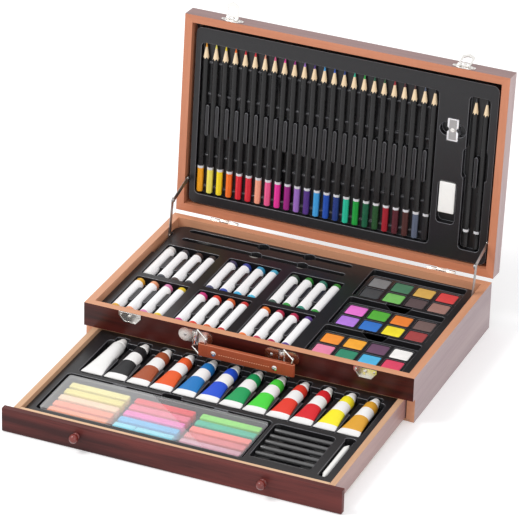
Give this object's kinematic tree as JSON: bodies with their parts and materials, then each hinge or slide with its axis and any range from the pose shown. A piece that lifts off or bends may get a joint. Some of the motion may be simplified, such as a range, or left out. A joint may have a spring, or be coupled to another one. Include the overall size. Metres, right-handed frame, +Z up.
{
  "type": "drawer box for art materials",
  "caption": "Open wooden art case with a hinged lid of pencils, an upper tray of crayons and paints, and a pulled-out drawer.",
  "frame": {"origin": "centre of the underside of the case, on the floor", "axes": "+X to the right seen from the front, +Y to the back where the lid is hinged, +Z up"},
  "size_m": [0.38, 0.4859, 0.3152],
  "materials": {
    "case_wood": "lacquered, satin",
    "rail_wood": "dark stain, gloss",
    "lid_wood": "lacquered, satin",
    "panel_wood": "plywood, satin",
    "face_wood": "dark stain, satin",
    "drawer_wood": "lacquered, satin",
    "knob_wood": "dark red lacquer, gloss",
    "tray_plastic": "moulded, semi-gloss",
    "palette_plastic": "moulded, semi-gloss",
    "box_clear": "clear plastic, gloss",
    "box_black": "moulded, semi-gloss",
    "nickel": "polished nickel",
    "steel": "zinc plated",
    "brass": "polished",
    "leather": "brown, smooth",
    "paper": "matt wrapper",
    "crayon_wax": "waxy pigment, colour differs by stick",
    "paint": "dry paint, colour differs by cake",
    "pastel": "chalky pigment, colour differs by stick",
    "charcoal": "matt",
    "pencil_wood": "black lacquer, end colour differs by pencil",
    "tube_foil": "white lacquer, satin",
    "cap_plastic": "white, satin",
    "rubber": "matt",
    "magnesium": "machined",
    "brush_wood": "clear lacquer"
  },
  "bodies": {
    "case": {"case_bottom_panel": "panel_wood", "case_left_side": "case_wood", "case_right_side": "case_wood", "case_back_panel": "case_wood", "case_front_rail": "rail_wood", "tray_shelf": "panel_wood", "upper_tray": "tray_plastic", "crayon_cores": "crayon_wax", "crayon_wrappers": "paper", "paint_brush": "brush_wood", "palette_trays": "palette_plastic", "paint_cakes": "paint", "catch_plates": "nickel", "handle_plates": "nickel", "hinge_lower_leaves": "brass", "hinge_pins": "steel", "case_screws": "steel", "stay_case_pivots": "steel"},
    "lid": {"lid_front_rail": "lid_wood", "lid_back_rail": "lid_wood", "lid_left_rail": "lid_wood", "lid_right_rail": "lid_wood", "lid_panel": "panel_wood", "lid_tray": "tray_plastic", "colour_pencils": "pencil_wood", "graphite_pencils": "pencil_wood", "sharpener_body": "magnesium", "sharpener_blade": "steel", "sharpener_screw": "steel", "eraser": "rubber", "hinge_upper_leaves": "brass", "latch_plates": "nickel", "latch_pins": "steel", "lid_screws": "steel", "stay_lid_pivots": "steel"},
    "left_hasp": {"hasp_left": "nickel"},
    "right_hasp": {"hasp_right": "nickel"},
    "left_ring": {"ring_left": "nickel"},
    "right_ring": {"ring_right": "nickel"},
    "strap": {"handle_strap": "leather", "handle_rivets": "nickel"},
    "left_lower_stay": {"stay_lower_left": "steel"},
    "right_lower_stay": {"stay_lower_right": "steel"},
    "left_upper_stay": {"stay_upper_left": "steel"},
    "right_upper_stay": {"stay_upper_right": "steel"},
    "drawer": {"drawer_face": "face_wood", "drawer_inner_front": "drawer_wood", "drawer_left_side": "drawer_wood", "drawer_right_side": "drawer_wood", "drawer_back": "drawer_wood", "drawer_bottom": "panel_wood", "drawer_knobs": "knob_wood", "drawer_tray": "tray_plastic", "tube_bodies": "tube_foil", "tube_caps": "cap_plastic", "pastel_box_base": "box_black", "pastel_box_cover": "box_clear", "pastel_sticks": "pastel", "charcoal_sticks": "charcoal", "blending_stump": "paper"}
  },
  "joints": [
    {"name": "lid_hinge", "type": "hinge", "parent": "case", "child": "lid", "pos_m": [0, 0.12025, 0.05615], "axis": [1, 0, 0], "range_deg": [0, 94]},
    {"name": "drawer_slide", "type": "slide", "parent": "case", "child": "drawer", "axis": [0, 1, 0], "range_m": [0, 0.1947]},
    {"name": "stay_lower_left_pivot", "type": "hinge", "parent": "case", "child": "left_lower_stay", "pos_m": [-0.1802, 0.082, 0.046], "axis": [1, 0, 0], "range_deg": [0, 94]},
    {"name": "stay_upper_left_pivot", "type": "hinge", "parent": "lid", "child": "left_upper_stay", "pos_m": [-0.1791, 0.12746, 0.09694], "axis": [1, 0, 0], "range_deg": [-94, 0]},
    {"name": "stay_lower_right_pivot", "type": "hinge", "parent": "case", "child": "right_lower_stay", "pos_m": [0.1802, 0.082, 0.046], "axis": [1, 0, 0], "range_deg": [0, 94]},
    {"name": "stay_upper_right_pivot", "type": "hinge", "parent": "lid", "child": "right_upper_stay", "pos_m": [0.1791, 0.12746, 0.09694], "axis": [1, 0, 0], "range_deg": [-94, 0]},
    {"name": "hasp_left_pivot", "type": "hinge", "parent": "lid", "child": "left_hasp", "pos_m": [-0.1355, 0.14216, 0.2957], "axis": [1, 0, 0], "range_deg": [-72, 90]},
    {"name": "hasp_right_pivot", "type": "hinge", "parent": "lid", "child": "right_hasp", "pos_m": [0.1355, 0.14216, 0.2957], "axis": [1, 0, 0], "range_deg": [0, 162]},
    {"name": "ring_left_pivot", "type": "hinge", "parent": "case", "child": "left_ring", "pos_m": [-0.05835, -0.1195, 0.045], "axis": [-0.2588, 0, -0.9659], "range_deg": [0, 110]},
    {"name": "ring_right_pivot", "type": "hinge", "parent": "case", "child": "right_ring", "pos_m": [0.04125, -0.1195, 0.045], "axis": [-0.2588, 0, -0.9659], "range_deg": [0, 110]},
    {"name": "strap_pivot", "type": "hinge", "parent": "left_ring", "child": "strap", "pos_m": [-0.04435, -0.1289, 0.04125], "axis": [-0.2588, 0, -0.9659], "range_deg": [-110, 0]}
  ],
  "couplings": [
    {"joint": "stay_lower_left_pivot", "follows": "lid_hinge", "ratio": 1},
    {"joint": "stay_lower_right_pivot", "follows": "lid_hinge", "ratio": 1},
    {"joint": "stay_upper_left_pivot", "follows": "lid_hinge", "ratio": -1},
    {"joint": "stay_upper_right_pivot", "follows": "lid_hinge", "ratio": -1},
    {"joint": "ring_right_pivot", "follows": "ring_left_pivot", "ratio": 1},
    {"joint": "strap_pivot", "follows": "ring_left_pivot", "ratio": -1}
  ]
}
